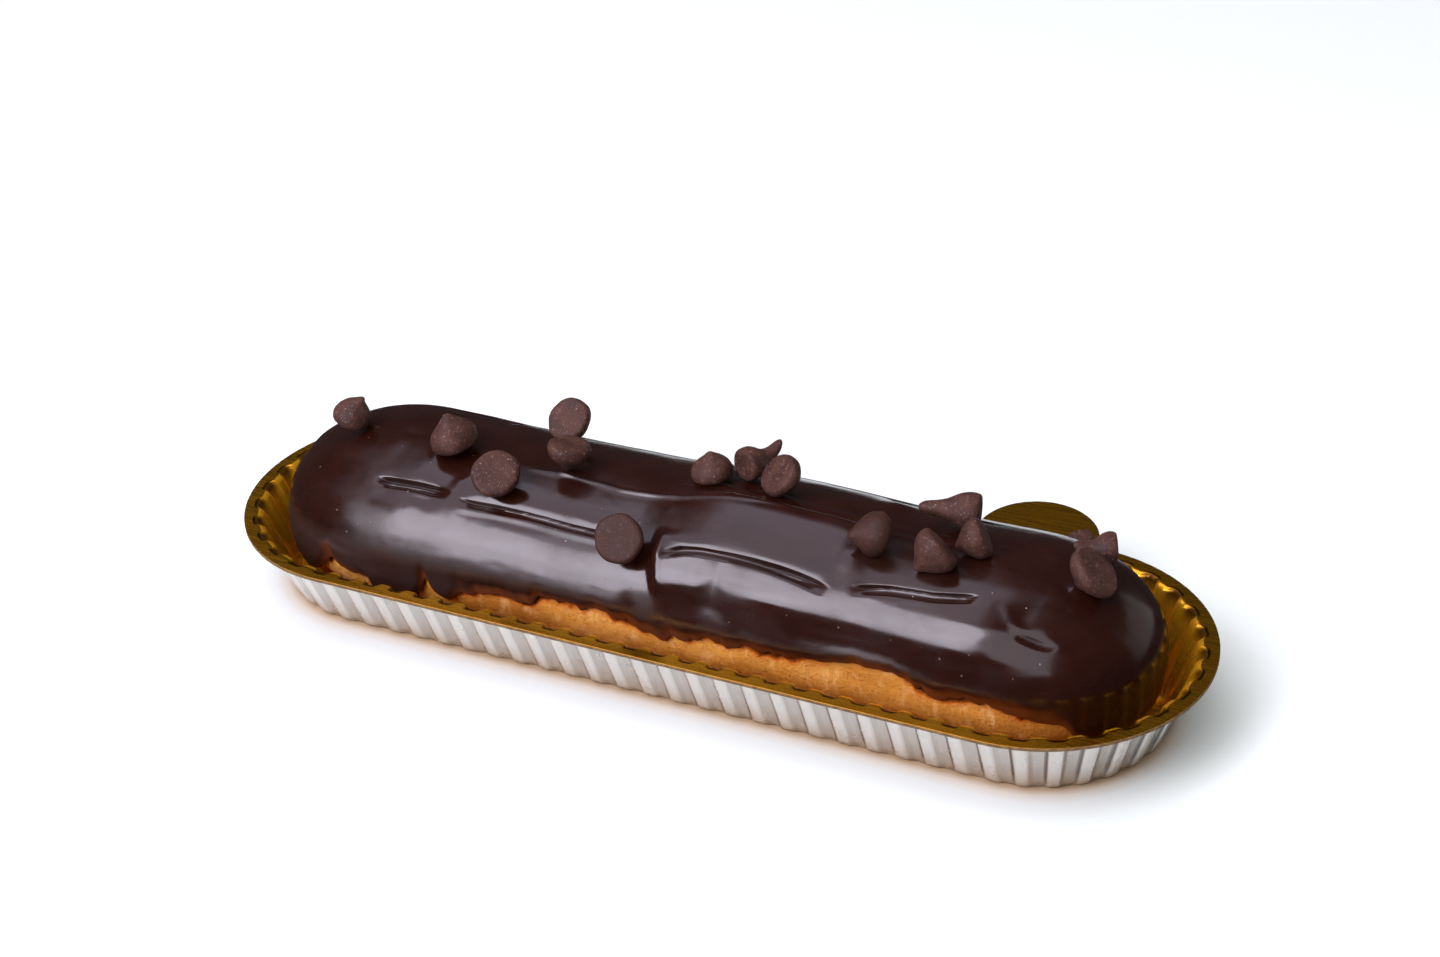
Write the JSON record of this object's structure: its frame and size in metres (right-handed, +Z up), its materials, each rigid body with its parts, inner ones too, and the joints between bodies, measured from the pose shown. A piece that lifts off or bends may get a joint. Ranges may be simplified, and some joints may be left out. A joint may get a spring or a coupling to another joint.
{
  "type": "chocolate eclair",
  "caption": "Chocolate eclair: a long choux bun with a thick cap of glossy dark icing and scattered chocolate chips, in a pleated foil-board tray with a lifting tab.",
  "frame": {"origin": "middle of the tray's flat underside, on the surface it stands on", "axes": "+X along the eclair, +Z up, +Y towards the side with the lifting tab"},
  "size_m": [0.15, 0.057, 0.0302],
  "materials": {
    "foil_board": "pressed board laminated with foil, gold inside and silver outside",
    "choux": "baked choux pastry, matt golden brown",
    "icing": "set dark chocolate icing, glossy",
    "chip": "moulded chocolate, satin matt"
  },
  "bodies": {
    "root": {"tray": "foil_board", "choux": "choux", "icing": "icing", "chip_01": "chip", "chip_02": "chip", "chip_03": "chip", "chip_04": "chip", "chip_05": "chip", "chip_06": "chip", "chip_07": "chip", "chip_08": "chip", "chip_09": "chip", "chip_10": "chip", "chip_11": "chip", "chip_12": "chip", "chip_13": "chip", "chip_14": "chip", "chip_15": "chip", "chip_16": "chip"}
  },
  "joints": []
}
